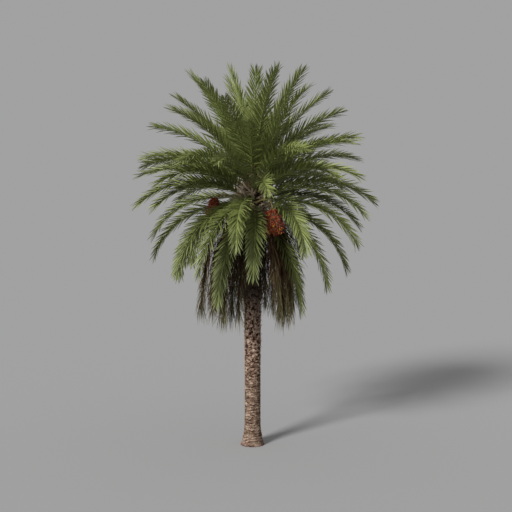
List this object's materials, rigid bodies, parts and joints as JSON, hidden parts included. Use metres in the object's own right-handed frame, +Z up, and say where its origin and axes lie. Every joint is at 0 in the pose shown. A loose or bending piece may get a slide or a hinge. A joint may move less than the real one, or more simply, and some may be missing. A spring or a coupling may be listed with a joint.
{
  "type": "date palm tree",
  "caption": "Whole date palm: a scarred trunk flaring to the ground, a round crown of arching feathered fronds, a hanging skirt of dead ones and orange date bunches.",
  "frame": {"origin": "centre of the flat cut under the trunk, at ground level, at the mount ground", "axes": "+Z up the trunk; -Y is the side with the largest bunch of dates, +X to its right"},
  "size_m": [7.3077, 7.272, 11.2148],
  "materials": {
    "bark": "rough, dry, with the stubs of old leaf bases",
    "green_frond": "satin green leaflets with a pale rib",
    "dead_frond": "dry, matt brown leaflets",
    "dates": "smooth orange-red fruit"
  },
  "bodies": {
    "root": {"date_bunch_1": "dates", "date_bunch_2": "dates", "date_bunch_3": "dates", "date_bunch_4": "dates", "dead_frond_pair_01": "dead_frond", "dead_frond_pair_02": "dead_frond", "dead_frond_pair_03": "dead_frond", "dead_frond_pair_04": "dead_frond", "dead_frond_pair_05": "dead_frond", "dead_frond_pair_06": "dead_frond", "dead_frond_pair_07": "dead_frond", "dead_frond_pair_08": "dead_frond", "dead_frond_pair_09": "dead_frond", "dead_frond_pair_10": "dead_frond", "frond_01": "green_frond", "frond_02": "green_frond", "frond_03": "green_frond", "frond_04": "green_frond", "frond_05": "green_frond", "frond_06": "green_frond", "frond_07": "green_frond", "frond_08": "green_frond", "frond_09": "green_frond", "frond_10": "green_frond", "frond_11": "green_frond", "frond_12": "green_frond", "frond_13": "green_frond", "frond_14": "green_frond", "frond_15": "green_frond", "frond_16": "green_frond", "frond_17": "green_frond", "frond_18": "green_frond", "frond_19": "green_frond", "frond_20": "green_frond", "frond_21": "green_frond", "frond_22": "green_frond", "frond_pair_01": "green_frond", "frond_pair_02": "green_frond", "frond_pair_03": "green_frond", "frond_pair_04": "green_frond", "frond_pair_05": "green_frond", "frond_pair_06": "green_frond", "frond_pair_07": "green_frond", "frond_pair_08": "green_frond", "frond_pair_09": "green_frond", "frond_pair_10": "green_frond", "frond_pair_11": "green_frond", "frond_pair_12": "green_frond", "frond_pair_13": "green_frond", "frond_pair_14": "green_frond", "frond_pair_15": "green_frond", "frond_pair_16": "green_frond", "frond_pair_17": "green_frond", "frond_pair_18": "green_frond", "frond_pair_19": "green_frond", "frond_pair_20": "green_frond", "heart_fronds": "green_frond", "trunk": "bark"}
  },
  "joints": []
}
